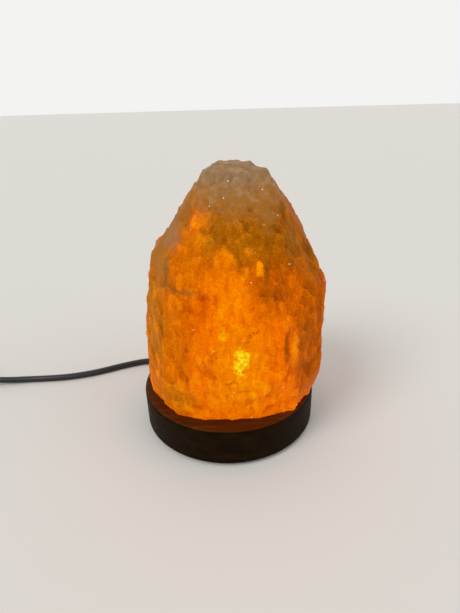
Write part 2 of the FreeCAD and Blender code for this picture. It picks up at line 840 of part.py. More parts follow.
def cord_coil():
    turns = coil_turns * 2 + 0.5
    quarters = int(round(turns * 4))
    stops = [turns * k / quarters for k in range(quarters + 1)]
    spots = [(coil_place(t), coil_way(t)) for t in stops]
    spots[0] = (spots[0][0], V(-1, 0, 0))
    spots[-1] = (spots[-1][0], V(1, 0, 0))
    first, last = spots[0][0], spots[-1][0]
    edges = [Part.LineSegment(first + V(straight_end, 0, 0), first).toShape()]
    for (p, p_way), (q, q_way) in zip(spots, spots[1:]):
        edges += biarc(p, p_way, q, q_way)
    edges.append(Part.LineSegment(last, last + V(straight_end, 0, 0)).toShape())
    wire = Part.Wire(edges)
    least_gap(wire)
    return tube(wire, "cord_coil")


def least_gap(wire):
    """Print the coil's least gap to itself, measured between points along its axis."""
    points = wire.discretize(Distance=1.5)
    skip = int(cord_radius * 2 * math.pi / 1.5)
    least = 1e9
    for i, p in enumerate(points):
        for q in points[i + skip:]:
            if abs(p.x - q.x) < 8 and abs(p.y - q.y) < 8:
                least = min(least, (p - q).Length)
    print("cord_coil: least gap to itself %.2f mm" % (least - cord_radius * 2))


def cord_tail():
    end = coil_place(coil_turns * 2 + 0.5) + V(straight_end, 0, 0)
    start = (end.x, end.y, end.z)
    route = [start, (end.x + 10.0, end.y, end.z)]
    route += [(end.x + x, end.y + y, z) for x, y, z in tail_route]
    route += [(plug_start.x - 10.0, plug_start.y, plug_start.z), tuple(plug_start)]
    return tube(cord_wire(route, "cord_tail"), "cord_tail")


def coil_ties():
    """Two flat straps round the coil, left and right, that it lies on."""
    inner = coil_inner_radius - cord_radius - seat_gap
    outer = coil_outer_radius + cord_radius + seat_gap
    high = coil_low + coil_step + cord_radius + seat_gap
    straps = []
    for side in (-1, 1):
        near, far = sorted((side * (inner - tie_thickness), side * (outer + tie_thickness)))
        whole = block((near, -tie_width / 2, 0), (far, tie_width / 2, high + tie_thickness))
        near, far = sorted((side * inner, side * outer))
        room = block((near, -tie_width, tie_thickness), (far, tie_width, high))
        straps.append(whole.cut(room).translated(coil_centre))
    return Part.makeCompound(straps)


# ---------------------------------------------------------------- mains plug
coil_end = coil_place(coil_turns * 2 + 0.5)
plug_start = V(coil_end.x + straight_end + tail_reach, coil_end.y + tail_aside, plug_thickness / 2)
plug_back = plug_start.x + relief_length
plug_face = plug_back + plug_length


def plug_body():
    half = plug_width / 2
    tail = plug_tail_width / 2
    points = (
        (plug_back, -tail), (plug_face - plug_nose, -half), (plug_face, -half),
        (plug_face, half), (plug_face - plug_nose, half), (plug_back, tail),
    )
    outline = [V(x, plug_start.y + y, 0) for x, y in points]
    body = Part.Face(Part.makePolygon(outline + outline[:1])).extrude(V(0, 0, plug_thickness))
    uprights = [e for e in body.Edges if abs(e.Vertexes[0].Z - e.Vertexes[1].Z) > 1]
    body = body.makeFillet(plug_edge, uprights)
    rims = [e for e in body.Edges if abs(e.Vertexes[0].Z - e.Vertexes[1].Z) < 1e-6]
    body = body.makeFillet(plug_edge * 0.6, rims)
    for y in prong_rows():
        hole = Part.makeCylinder(prong_radius + slip_gap, 6, V(plug_face - 5, y, plug_start.z), V(1, 0, 0))
        body = body.cut(hole)
    return body


def prong_rows():
    return (plug_start.y - prong_spacing / 2, plug_start.y + prong_spacing / 2)


def plug_prongs():
    prongs = []
    for y in prong_rows():
        root = V(plug_face - 5, y, plug_start.z)
        core = Part.makeCylinder(prong_sleeve_radius - 0.5, 5 + sleeve_length, root, V(1, 0, 0))
        tip_start = root + V(5 + sleeve_length, 0, 0)
        bare = Part.makeCylinder(prong_radius, prong_length - sleeve_length, tip_start, V(1, 0, 0))
        rims = [e for e in bare.Edges if isinstance(e.Curve, Part.Circle)
                and e.Curve.Center.x > plug_face + prong_length - 1e-3]
        prongs.append(core.fuse(bare.makeFillet(prong_radius * 0.6, rims)))
    return Part.makeCompound(prongs)


def prong_sleeves():
    sleeves = []
    for y in prong_rows():
        root = V(plug_face - 5, y, plug_start.z)
        outer = Part.makeCylinder(prong_sleeve_radius, 5 + sleeve_length, root, V(1, 0, 0))
        inner = Part.makeCylinder(prong_sleeve_radius - 0.5, 5 + sleeve_length, root, V(1, 0, 0))
        sleeves.append(outer.cut(inner))
    return Part.makeCompound(sleeves)


def plug_relief():
    return Part.makeCone(relief_end_radius, relief_radius, relief_length, plug_start, V(1, 0, 0))


save("cord_lead", cord_lead())
save("cord_link", cord_link())
save("cord_coil", cord_coil())
save("cord_tail", cord_tail())
save("coil_ties", coil_ties())
save("plug_body", plug_body())
save("plug_prongs", plug_prongs())
save("prong_sleeves", prong_sleeves())
save("plug_relief", plug_relief())
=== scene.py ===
import json
import math

import bmesh
import bpy
from mathutils import Matrix, Vector, noise

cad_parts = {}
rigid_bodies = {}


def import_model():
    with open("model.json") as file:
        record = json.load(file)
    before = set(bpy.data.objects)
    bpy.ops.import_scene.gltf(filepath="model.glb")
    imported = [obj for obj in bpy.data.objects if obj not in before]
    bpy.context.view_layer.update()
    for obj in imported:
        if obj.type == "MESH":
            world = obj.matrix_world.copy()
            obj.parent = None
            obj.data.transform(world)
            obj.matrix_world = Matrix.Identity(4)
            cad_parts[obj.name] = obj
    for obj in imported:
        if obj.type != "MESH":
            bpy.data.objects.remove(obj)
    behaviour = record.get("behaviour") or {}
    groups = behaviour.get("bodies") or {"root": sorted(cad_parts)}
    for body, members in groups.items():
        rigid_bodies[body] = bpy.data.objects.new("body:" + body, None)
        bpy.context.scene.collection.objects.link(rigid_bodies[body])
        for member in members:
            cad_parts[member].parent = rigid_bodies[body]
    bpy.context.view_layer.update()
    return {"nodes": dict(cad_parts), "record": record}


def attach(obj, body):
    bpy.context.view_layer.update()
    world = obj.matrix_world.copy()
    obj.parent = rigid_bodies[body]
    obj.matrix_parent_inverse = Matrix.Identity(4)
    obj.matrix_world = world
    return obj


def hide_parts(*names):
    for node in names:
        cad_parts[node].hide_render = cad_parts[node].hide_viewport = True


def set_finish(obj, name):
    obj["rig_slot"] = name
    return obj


# Salt crystal lamp. Places are given in millimetres about the axis of the round stand, front
# towards -Y, and at() turns them into the frame's metres.

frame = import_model()
nodes = frame["nodes"]
mm = 0.001
standShift = -3.2      # the stand's axis, seen from the frame's origin


def at(x, y, z):
    return Vector(((x + standShift) * mm, y * mm, z * mm))


def addObject(name, data):
    made = bpy.data.objects.new(name, data)
    bpy.context.scene.collection.objects.link(made)
    return made


def addPiece(name, data, body, slot):
    piece = addObject(name, data)
    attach(piece, body)
    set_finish(piece, slot)
    return piece


# camera and cords
camera = {"place": (2.3, -263.2, 206.0), "pitch": 24.92, "roll": 1.62, "lens": 25.25}


def setCamera(sizes):
    eye = addObject("camera", bpy.data.cameras.new("camera"))
    eye.data.lens = sizes["lens"]
    eye.data.clip_start = 0.01
    pitch = math.radians(sizes["pitch"])
    roll = math.radians(sizes["roll"])
    down = Vector((0, -math.sin(pitch), -math.cos(pitch)))
    ahead = Vector((0, math.cos(pitch), -math.sin(pitch)))
    right = Vector((1, 0, 0)) * math.cos(roll) + down * math.sin(roll)
    down = down * math.cos(roll) - Vector((1, 0, 0)) * math.sin(roll)
    turn = Matrix((right, -down, -ahead)).transposed()
    eye.matrix_world = Matrix.Translation(at(*sizes["place"])) @ turn.to_4x4()
    bpy.context.scene.camera = eye


setCamera(camera)

cord = {
    "thick": 5.0,
    "lead": [(-22.465, 26.773, 7.1), (-27.6, 32.9, 7.1), (-37.6, 44.8, 4.4), (-46, 54.6, 2.7),
             (-55.5, 62, 2.6), (-71.5, 65.6, 2.6), (-93.2, 58, 2.6), (-112, 49, 2.6),
             (-134, 42.8, 2.6), (-153, 41.4, 2.6), (-168, 40.8, 2.8), (-181, 39, 3.6),
             (-192, 37.6, 5), (-201, 37.6, 5)],
    "link": [(-295, 37.6, 5), (-303.5, 37.6, 5), (-312.5, 37.6, 3.3), (-321, 37.6, 3.3)],
    "tail": [(-321, -44.65, 8.8), (-311, -44.65, 8.8), (-297, -48.65, 6.8), (-283, -58.65, 4.8),
             (-269, -69.65, 4.4), (-256, -76.25, 5.6), (-247, -77.05, 6.85), (-237, -77.05, 6.85)],
}
coil = {"middle": (-326, -3.525), "inner": 20.5, "step": 5.5, "turns": 3.5, "low": 3.3,
        "perTurn": 24}


def coilPoints(sizes):
    # two layers of turns: in along the floor, up, and out again on top
    points = []
    steps = int((sizes["turns"] * 2 + 0.5) * sizes["perTurn"])
    proud = 1 / math.cos(math.pi / sizes["perTurn"])    # the line cuts inside its control points
    for step in range(steps + 1):
        turn = step / sizes["perTurn"]
        radius = sizes["inner"] + sizes["step"] * abs(turn - sizes["turns"] - 0.25)
        radius = radius * (1 + proud) / 2
        rise = min(max((turn - sizes["turns"]) * 2, 0), 1)
        height = sizes["low"] + sizes["step"] * rise * rise * (3 - 2 * rise)
        angle = math.pi / 2 + turn * math.tau
        points.append((sizes["middle"][0] + radius * math.cos(angle),
                       sizes["middle"][1] + radius * math.sin(angle), height))
    return points


def smoothLine(name, points, thick, body, slot):
    curve = bpy.data.curves.new(name, "CURVE")
    curve.dimensions = "3D"
    line = curve.splines.new("NURBS")
    line.points.add(len(points) - 1)
    for control, point in zip(line.points, points):
        control.co = (*at(*point), 1)
        control.radius = thick * mm / 2
    line.order_u = 3
    line.use_endpoint_u = True
    line.resolution_u = 6
    curve.bevel_depth = 1        # times the radius of each point
    curve.bevel_resolution = 4
    curve.use_fill_caps = True
    return addPiece(name, curve, body, slot)


leadCord = smoothLine("leadCord", cord["lead"], cord["thick"], "electrics", "cord_pvc")
plugCord = smoothLine("plugCord", cord["link"] + coilPoints(coil) + cord["tail"], cord["thick"],
                      "electrics", "cord_pvc")
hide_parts("cord_lead")
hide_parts("cord_link", "cord_coil", "cord_tail")
print("camera and cords")


# mesh helpers
def newPiece(name, form, body, slot, smooth=True):
    # a finished bmesh becomes a piece that rides on a body
    mesh = bpy.data.meshes.new(name)
    for face in form.faces:
        face.smooth = smooth
    form.to_mesh(mesh)
    form.free()
    return addPiece(name, mesh, body, slot)


def chain(form, points):
    corners = [form.verts.new(point) for point in points]
    return [form.edges.new(pair) for pair in zip(corners, corners[1:])]


def turned(profile, steps=48):
    # a profile of (distance from the axis, height) pairs, turned round the Z axis
    form = bmesh.new()
    edges = chain(form, [Vector((radius * mm, 0, height * mm)) for radius, height in profile])
    bmesh.ops.spin(form, geom=edges + form.verts[:], cent=(0, 0, 0), axis=(0, 0, 1),
                   angle=math.tau, steps=steps, use_merge=True)
    bmesh.ops.remove_doubles(form, verts=form.verts, dist=1e-7)
    bmesh.ops.recalc_face_normals(form, faces=form.faces)
    return form


def ringProfile(inner, outer, low, high):
    return [(inner, low), (outer, low), (outer, high), (inner, high), (inner, low)]


def settle(form, place=(0, 0, 0), turn=Matrix.Identity(3)):
    bmesh.ops.transform(form, matrix=Matrix.Translation(at(*place)) @ turn.to_4x4(),
                        verts=form.verts)


def copied(node):
    # a merged copy of a CAD node's mesh
    form = bmesh.new()
    form.from_mesh(nodes[node].data)
    bmesh.ops.remove_doubles(form, verts=form.verts, dist=1e-6)
    return form


# salt crystal
rock = {
    "voxel": 1.0,
    "lump": (21, 0.9),           # size across and height, in millimetres
    "knob": (7.0, 0.6, 0.7),     # the last figure stretches it upwards
    "flute": (3.6, 0.42, 0.3),   # narrow, and stretched upwards
    "chip": (8.0, 0.11, 0.26),   # cell size, slant and step of the small cleaved flats
    "grit": (1.8, 0.24),
    "pit": (6.0, 0.7, 1.5, 0.45),    # cell size, depth, radius, and how many cells have none
    "floor": 28.0,
    "seat": 40,                  # radius of the flat that the rock stands on
    "cavity": (25.6, 112.6),     # radius and top, a little past the drilled bore's
    "bore": (5, 0.3),            # size and height of the bore's roughness
    "edge": (7, 6, 3.4),         # height, lump size and depth of the broken lower edge
    # forms, one by one: middle, half sizes, and how far the surface stands out
    "marks": [
        ((-22.4, -18.4, 152), (9, 13, 8), -1.9), ((-13, -12, 163), (8, 13, 7), 1.3),
        ((56, -20, 120), (6, 14, 7), 1.4), ((50, -18, 130), (5, 12, 6), -1.3),
        ((34.3, -53, 82), (2.2, 7, 13), -2.2), ((38.5, -51, 80), (2.6, 7, 13), 1.1),
        ((34, -52, 60), (2.4, 6, 10), -1.0), ((-43.4, -31, 87), (2.6, 7, 20), 0.9),
        ((-39.6, -36, 80), (2.2, 7, 21), -1.3), ((-2.5, -55.4, 92), (4, 6, 6), 1.3),
        ((12, -55, 54), (13, 6, 3), -1.1), ((13, -55, 60), (15, 6, 3), 0.8),
        ((-19, -53, 61), (5, 7, 7), 1.2), ((-24.5, -51, 57), (2.5, 6, 8), -1.2),
        ((13, -55, 90), (2.2, 4, 2.2), -1.4), ((17.5, -54.6, 93), (1.8, 4, 2.6), -1.2),
        ((10, -55.4, 86.6), (1.6, 4, 1.8), -1.0), ((18.4, -46, 127), (2.6, 6, 6), 1.3),
        ((22.5, -47, 122), (2.2, 6, 12), -1.2), ((-33.6, -34, 120), (1.1, 5, 8), -1.4),
        ((-25, -42, 114.6), (11, 9, 1.6), -0.8), ((29, -15.5, 163), (2.4, 6, 9), 1.0),
        ((36, -19.5, 149), (2.6, 6, 12), 1.1), ((33, -22, 150), (2, 6, 14), -1.0),
        ((40.5, -23, 137), (3, 7, 9), 0.9), ((46, -20, 133), (2, 6, 8), -1.1),
        ((-8, -55, 68), (3, 6, 9), -0.9), ((24, -54, 72), (3.2, 6, 10), -0.8),
        ((27, -48, 112), (6, 9, 8), -0.9), ((-12, -50, 108), (8, 9, 9), -0.8),
        ((48, -40, 60), (5, 9, 9), -1.4), ((-47, -20, 50), (5, 9, 10), -1.2),
        ((20, 50, 100), (9, 9, 14), -1.8), ((-25, 45, 70), (9, 9, 12), 1.5),
        ((5, 48, 130), (9, 9, 9), 1.2), ((-40, 30, 110), (6, 8, 12), -1.5),
        ((45, 35, 80), (6, 9, 14), 1.4), ((30, 50, 55), (9, 8, 6), -1.4),
        ((21, -6, 179), (10, 14, 8), -2.0), ((-35, 11, 141), (15, 28, 19), -5.0),
    ],
}


def weathering(spot, sizes):
    # how far the surface stands out at a spot, coarse and fine, in millimetres
    size, height = sizes["lump"]
    coarse = height * noise.noise(spot / size)
    size, height, squeeze = sizes["knob"]
    stretched = Vector((spot.x, spot.y, spot.z * squeeze)) / size
    out = height * noise.noise(stretched + Vector((7, 3, 1)))
    size, height, squeeze = sizes["flute"]
    stretched = Vector((spot.x, spot.y, spot.z * squeeze)) / size
    out += height * noise.noise(stretched + Vector((2, 9, 4)))
    size, slant, step = sizes["chip"]
    near = noise.voronoi(spot / size)[1][0]
    lean = noise.cell_vector(near * 31)
    out += slant * (spot - near * size).dot(lean) + step * (lean.z - 0.5)
    size, height = sizes["grit"]
    out += height * noise.noise(spot / size)
    size, depth, radius, none = sizes["pit"]
    gaps, places = noise.voronoi(spot / size + Vector((5, 5, 5)))
    close = gaps[0] * size / radius
    if close < 1 and noise.cell_vector(places[0] * 17).x > none:
        out -= depth * (1 - close * close) ** 2
    return coarse, out


def cleave(sizes):
    form = copied("salt_crystal")
    rough = bpy.data.meshes.new("roughSalt")
    form.to_mesh(rough)
    form.free()
    block = addObject("roughSalt", rough)
    grid = block.modifiers.new("grid", "REMESH")
    grid.mode = "VOXEL"
    grid.voxel_size = sizes["voxel"] * mm
    shaped = bpy.data.meshes.new_from_object(
        block.evaluated_get(bpy.context.evaluated_depsgraph_get()))
    bpy.data.objects.remove(block)
    form = bmesh.new()
    form.from_mesh(shaped)
    for _ in range(2):
        bmesh.ops.smooth_vert(form, verts=form.verts, factor=0.5, use_axis_x=True, use_axis_y=True,
                              use_axis_z=True)
    form.normal_update()
    relief = form.verts.layers.float.new("relief")
    moves = []
    cavityRadius, cavityTop = sizes["cavity"]
    boreSize, boreHeight = sizes["bore"]
    edgeHeight, edgeSize, edgeDepth = sizes["edge"]
    for corner in form.verts:
        spot = corner.co / mm - Vector((standShift, 0, 0))
        fromAxis = math.hypot(spot.x, spot.y)
        inside = fromAxis < cavityRadius and spot.z < cavityTop
        under = corner.normal.z < -0.7 and spot.z < sizes["floor"] + 2      # the flat underside
        if under or fromAxis < sizes["seat"] and spot.z < sizes["floor"] + 0.6:
            out = 0
        elif inside:
            out = boreHeight * noise.noise(spot / boreSize)
        else:
            coarse, out = weathering(spot, sizes)
            for middle, half, height in sizes["marks"]:
                away = [(a - b) / c for a, b, c in zip(spot, middle, half)]
                close = away[0] ** 2 + away[1] ** 2 + away[2] ** 2
                if close < 1:
                    out += height * (1 - close) ** 2
            corner[relief] = out        # the colour is painted paler on what stands out and darker in its hollows, as painted light and shade
            out += coarse
            low = (spot.z - sizes["floor"]) / edgeHeight
            if low < 1:             # the broken lower edge, which never swells past the cut
                bite = noise.noise(Vector((spot.x, spot.y, 0)) / edgeSize + Vector((1, 8, 3)))
                out -= (1 - max(low, 0)) ** 2 * max(bite + 0.15, 0) * edgeDepth
        moves.append(corner.normal * (out * mm))
    for corner, move in zip(form.verts, moves):
        corner.co += move
        corner.co.z = max(corner.co.z, sizes["floor"] * mm)
    return newPiece("saltCrystal", form, "stand", "salt")


saltCrystal = cleave(rock)
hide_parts("salt_crystal")
print("salt crystal:", len(saltCrystal.data.vertices), "points")

# bulb
bulb = {"pitch": 2.82, "low": 29.8, "high": 43.3, "radius": 6.75, "depth": 0.34, "wall": 0.3,
        "threads": (31.2, 40.6), "rows": 76, "around": 56}
shell = {"pitch": 2.82, "low": 22.9, "high": 37.9, "radius": 7.42, "depth": 0.2, "wall": 0.2,
         "threads": (24.6, 37.2), "rows": 84, "around": 56}
collar = {"inner": 7.62, "outer": 11.7, "low": 22.9, "high": 23.5}
filament = {"spread": 4.9, "low": 63.8, "rise": 2.7, "coil": 0.42, "wire": 0.16, "turns": 30,
            "perTurn": 8, "inset": 0.94}


def threaded(name, sizes, body, slot):
    # a pressed sheet sleeve with a rolled right-hand thread
    rows = sizes["rows"]
    span = sizes["high"] - sizes["low"]
    heights = [sizes["low"] + span * row / rows for row in range(rows + 1)]
    form = turned([(sizes["radius"], height) for height in heights], sizes["around"])
    first, last = sizes["threads"]
    for corner in form.verts:
        height = corner.co.z / mm
        angle = math.atan2(corner.co.y, corner.co.x)
        wave = math.cos((height / sizes["pitch"] - angle / math.tau) * math.tau)
        fade = min(max(min(height - first, last - height), 0), 1)
        swell = 1 + sizes["depth"] * wave * fade / sizes["radius"] / 2
        corner.co.x *= swell
        corner.co.y *= swell
    settle(form)
    piece = newPiece(name, form, body, slot)
    wall = piece.modifiers.new("wall", "SOLIDIFY")
    wall.thickness = sizes["wall"] * mm
    wall.offset = -1
    return piece


def coiledWire(sizes):
    points = [(-sizes["spread"], 0, sizes["low"])]
    count = sizes["turns"] * sizes["perTurn"]
    for step in range(count + 1):
        share = step / count
        along = math.pi * (1 - share)
        angle = share * sizes["turns"] * math.tau
        reach = sizes["coil"] * math.cos(angle)
        across = sizes["spread"] * sizes["inset"] + reach
        points.append((across * math.cos(along), sizes["coil"] * math.sin(angle),
                       sizes["low"] + (sizes["rise"] + reach) * math.sin(along)))
    points.append((sizes["spread"], 0, sizes["low"]))
    return smoothLine("filamentCoil", points, sizes["wire"], "bulb", "tungsten")


screwCap = threaded("bulbScrewCap", bulb, "bulb", "nickel_cap")
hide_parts("bulb_screw_cap")
threadShell = threaded("holderThread", shell, "electrics", "brass")
threadCollar = turned(ringProfile(**collar))
settle(threadCollar)
threadCollar = newPiece("holderThreadCollar", threadCollar, "electrics", "brass", smooth=False)
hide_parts("thread_shell")
filamentCoil = coiledWire(filament)
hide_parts("filament")
print("bulb and holder thread")

# strain reliefs: what they share, then each sleeve's radii, length and hole for the cord
boots = {
    "ribs": 5, "groove": 0.75, "round": 0.35, "edge": 0.3, "plain": 2.0, "bare": 3.0, "gap": 0.4,
    "nose": (0.5, 0.1), "steps": 40,
    "holder": {"root": 4.2, "tip": 3.2, "length": 20.6, "hole": 2.3},
    "switch": {"root": 4.2, "tip": 3.2, "length": 16, "hole": 2.5},
    "plug": {"root": 4.6, "tip": 3.2, "length": 22, "hole": 2.5},
    "holderExit": {"angle": 130, "out": 14.35, "high": 7.1},
    "switchRight": (-217, 37.6, 5), "switchLeft": (-279, 37.6, 5), "plugEnd": -215,
}
plug = {"side": -77.05, "middle": 6.85}      # where the plug's own axis lies


def ribbedProfile(sizes, shared):
    # a tapered sleeve with rings, as (radius, distance along) pairs, closed on the cord
    root, tip, length = sizes["root"], sizes["tip"], sizes["length"]
    edge = shared["edge"]
    profile = [(sizes["hole"], 0), (root - edge, 0), (root, edge)]
    pitch = (length - shared["bare"]) / shared["ribs"]
    for rib in range(shared["ribs"]):
        start = shared["plain"] + rib * pitch
        radius = root + (tip - root) * (start + pitch / 2) / length
        end = start + pitch * shared["gap"]
        profile += [(radius, start), (radius - shared["groove"], start + shared["round"]),
                    (radius - shared["groove"], end - shared["round"]), (radius, end)]
    slope, end = shared["nose"]
    profile += [(tip, length - slope), (tip - edge, length - end), (sizes["hole"], length)]
    return profile


def ribbedSleeve(name, sizes, place, heading):
    form = turned(ribbedProfile(sizes, boots), boots["steps"])
    settle(form, place, Vector((0, 0, 1)).rotation_difference(Vector(heading)).to_matrix())
    return newPiece(name, form, "electrics", "cord_pvc", smooth=False)


def holderBootPlace(sizes):
    angle = math.radians(sizes["angle"])
    heading = Vector((math.cos(angle), math.sin(angle), 0))
    return heading * sizes["out"] + Vector((0, 0, sizes["high"])), heading


holderBoot = ribbedSleeve("holderBoot", boots["holder"], *holderBootPlace(boots["holderExit"]))
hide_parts("cord_boot")
switchBootRight = ribbedSleeve("switchBootRight", boots["switch"], boots["switchRight"],
                               (1, 0, 0))
ribbedSleeve("switchBootLeft", boots["switch"], boots["switchLeft"], (-1, 0, 0))
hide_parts("switch_grommets")
plugBoot = ribbedSleeve("plugBoot", boots["plug"],
                        (boots["plugEnd"], plug["side"], plug["middle"]), (-1, 0, 0))
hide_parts("plug_relief")

# rocker marks and plug grips
rocker = {"pivot": (-248, 37.6, 12.8), "lean": 8.0, "slope": 8.7, "place": 5.0, "rise": 4.0,
          "proud": 0.14, "sunk": 0.1, "bar": (0.7, 3.6), "ring": (1.5, 2.1), "edge": 0.1}
grips = {"count": 4, "step": 3.4, "first": -206, "width": 1.2, "proud": 0.5, "length": 9.0,
         "widening": 2.6, "edge": 0.25}


def rockerMark(name, form, side):
    # a mark lies on one of the rocker's two sloping faces
    lean = Matrix.Rotation(math.radians(rocker["lean"]), 3, "Y")
    slope = Matrix.Rotation(math.radians(-side * rocker["slope"]), 3, "Y")
    spot = Vector((side * rocker["place"], 0, rocker["rise"]))
    bmesh.ops.transform(form, matrix=slope.to_4x4(), verts=form.verts)
    bmesh.ops.translate(form, vec=spot * mm, verts=form.verts)
    settle(form, rocker["pivot"], lean)
    return newPiece(name, form, "rocker", "rocker_plastic", smooth=False)


def slab(length, width, height, edge):
    form = bmesh.new()
    bmesh.ops.create_cube(form, size=1)
    bmesh.ops.scale(form, vec=(length * mm, width * mm, height * mm), verts=form.verts)
    bmesh.ops.bevel(form, geom=form.edges[:], offset=edge * mm, offset_type="OFFSET", segments=2,
                    profile=0.5, affect="EDGES", material=-1)
    return form


high = rocker["proud"] + rocker["sunk"]
onMark = rockerMark("rockerMarkOn", slab(*rocker["bar"], high * 2, rocker["edge"]), 1)
offMark = rockerMark("rockerMarkOff",
                     turned(ringProfile(*rocker["ring"], -rocker["sunk"], high), 32), -1)


def plugGrips(sizes):
    form = bmesh.new()
    for side in (-1, 1):
        for k in range(sizes["count"]):
            bar = slab(sizes["width"], sizes["length"] + k * sizes["widening"],
                       sizes["proud"] * 2, sizes["edge"])
            rise = plug["middle"] + side * plug["middle"]
            settle(bar, (sizes["first"] + k * sizes["step"], plug["side"], rise))
            spare = bpy.data.meshes.new("bar")
            bar.to_mesh(spare)
            bar.free()
            form.from_mesh(spare)
            bpy.data.meshes.remove(spare)
    for corner in form.verts:
        corner.co.z = max(corner.co.z, 0)       # nothing reaches below the floor
    return newPiece("plugGrips", form, "electrics", "plug_plastic", smooth=False)


plugGrips(grips)

# straps round the coil's turns, left and right, each as wide as the turns are there
ties = {"spans": [(-42.4, -20.6), (17.9, 39.6)], "low": 0.6, "high": 11.4, "width": 6.0,
        "thick": 0.5, "round": 2.4}


def coilStraps(sizes):
    form = bmesh.new()
    middleX, middleY = coil["middle"]
    for near, far in sizes["spans"]:
        outline = [(near, sizes["low"]), (far, sizes["low"]), (far, sizes["high"]),
                   (near, sizes["high"])]
        form.faces.new([form.verts.new(at(middleX + x, middleY - sizes["width"] / 2, z))
                        for x, z in outline])
    bmesh.ops.bevel(form, geom=form.verts[:], offset=sizes["round"] * mm, offset_type="OFFSET",
                    segments=5, profile=0.5, affect="VERTICES", material=-1)
    bmesh.ops.delete(form, geom=form.faces[:], context="FACES_ONLY")
    pulled = bmesh.ops.extrude_edge_only(form, edges=form.edges[:])["geom"]
    bmesh.ops.translate(form, vec=(0, sizes["width"] * mm, 0),
                        verts=[part for part in pulled if isinstance(part, bmesh.types.BMVert)])
    bmesh.ops.recalc_face_normals(form, faces=form.faces)
    straps = newPiece("coilStraps", form, "electrics", "tie_strap", smooth=False)
    wall = straps.modifiers.new("wall", "SOLIDIFY")
    wall.thickness = sizes["thick"] * mm
    wall.offset = 1
    return straps


straps = coilStraps(ties)
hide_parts("coil_ties")
print("reliefs, rocker marks, plug grips, coil straps")

at(*cord["lead"][0])
at(*cord["link"][0])


# shader helpers
def tone(red, green, blue):
    # a screen colour of 0 to 255 as the shader's linear one
    def straight(part):
        part = part / 255
        return part / 12.92 if part <= 0.04045 else ((part + 0.055) / 1.055) ** 2.4
    return (straight(red), straight(green), straight(blue), 1)


class Field:
    # one output socket, so that shader maths reads as sums
    def __init__(self, finish, socket):
        self.finish = finish
        self.socket = socket

    def join(self, operation, first, second):
        return self.finish.node("ShaderNodeMath", {"operation": operation}, {0: first, 1: second})

    def __add__(self, other):
        return self.join("ADD", self, other)

    def __sub__(self, other):
        return self.join("SUBTRACT", self, other)

    def __rsub__(self, other):
        return self.join("SUBTRACT", other, self)

    def __mul__(self, other):
        return self.join("MULTIPLY", self, other)

    __radd__ = __add__
    __rmul__ = __mul__


class Finish:
    # a material, with its principled shader and a few ways to make patterns
    def __init__(self, name, settings=None):
        self.material = bpy.data.materials.new(name)
        self.material.use_nodes = True
        self.tree = self.material.node_tree
        self.shader = self.tree.nodes["Principled BSDF"]
        self.where = self.node("ShaderNodeTexCoord", {}, {}, "Object")
        for socket, value in (settings or {}).items():
            self.put(socket, value)

    def node(self, kind, settings, sockets, output=0):
        made = self.tree.nodes.new(kind)
        for name, value in settings.items():
            setattr(made, name, value)
        for name, value in sockets.items():
            self.feed(made.inputs[name], value)
        return Field(self, made.outputs[output])

    def feed(self, socket, value):
        if isinstance(value, Field):
            self.tree.links.new(value.socket, socket)
        else:
            socket.default_value = value

    def put(self, name, value):
        self.feed(self.shader.inputs[name], value)

    def placed(self, scale, shift=(0, 0, 0), vector=None):
        return self.node("ShaderNodeMapping", {}, {"Vector": vector or self.where,
                                                   "Location": shift, "Scale": scale})

    def cloud(self, size, detail=3.0, stretch=(1, 1, 1), vector=None, shift=(0, 0, 0), output=0):
        # soft noise with lumps of about size millimetres
        return self.node("ShaderNodeTexNoise", {}, {
            "Vector": self.placed(stretch, shift, vector), "Scale": 1 / (size * mm),
            "Detail": detail}, output)

    def cells(self, size, output="Distance", vector=None):
        return self.node("ShaderNodeTexVoronoi", {}, {
            "Vector": vector or self.where, "Scale": 1 / (size * mm)}, output)

    def astray(self, size, reach, detail=4.0, vector=None):
        # the place, carried off by up to reach millimetres in lumps of about size
        lumps = self.cloud(size, detail, output="Color")
        moved = self.node("ShaderNodeVectorMath", {"operation": "MULTIPLY_ADD"}, {
            0: lumps, 1: (reach * 2 * mm,) * 3, 2: vector or self.where})
        return self.node("ShaderNodeVectorMath", {"operation": "SUBTRACT"}, {
            0: moved, 1: (reach * mm,) * 3})

    def step(self, value, low, high):
        # 0 below low and 1 above high, or the other way round where low is the higher
        return self.node("ShaderNodeMapRange", {"interpolation_type": "SMOOTHSTEP"},
                         {0: value, 1: low, 2: high})

    def mix(self, share, first, second, way="MIX"):
        return self.node("ShaderNodeMix", {"data_type": "RGBA", "blend_type": way},
                         {0: share, 6: first, 7: second}, 2)

    def scaled(self, colour, share):
        return self.node("ShaderNodeVectorMath", {"operation": "SCALE"}, {0: colour, 3: share})

    def part(self, letter):
        return self.node("ShaderNodeSeparateXYZ", {}, {0: self.where}, letter)

    def spot(self, middle, half, soft=0.6, vector=None):
        # 1 in an egg-shaped place, given in millimetres, and 0 outside it
        scale = [1 / (size * mm) for size in half]
        shift = [-a * b for a, b in zip(at(*middle), scale)]
        away = self.node("ShaderNodeVectorMath", {"operation": "LENGTH"},
                         {0: self.placed(scale, shift, vector)}, "Value")
        return self.step(away, 1 + soft, 1 - soft)

    def bump(self, height, depth):
        self.put("Normal", self.node("ShaderNodeBump", {}, {
            "Strength": 1.0, "Distance": depth * mm, "Height": height}))


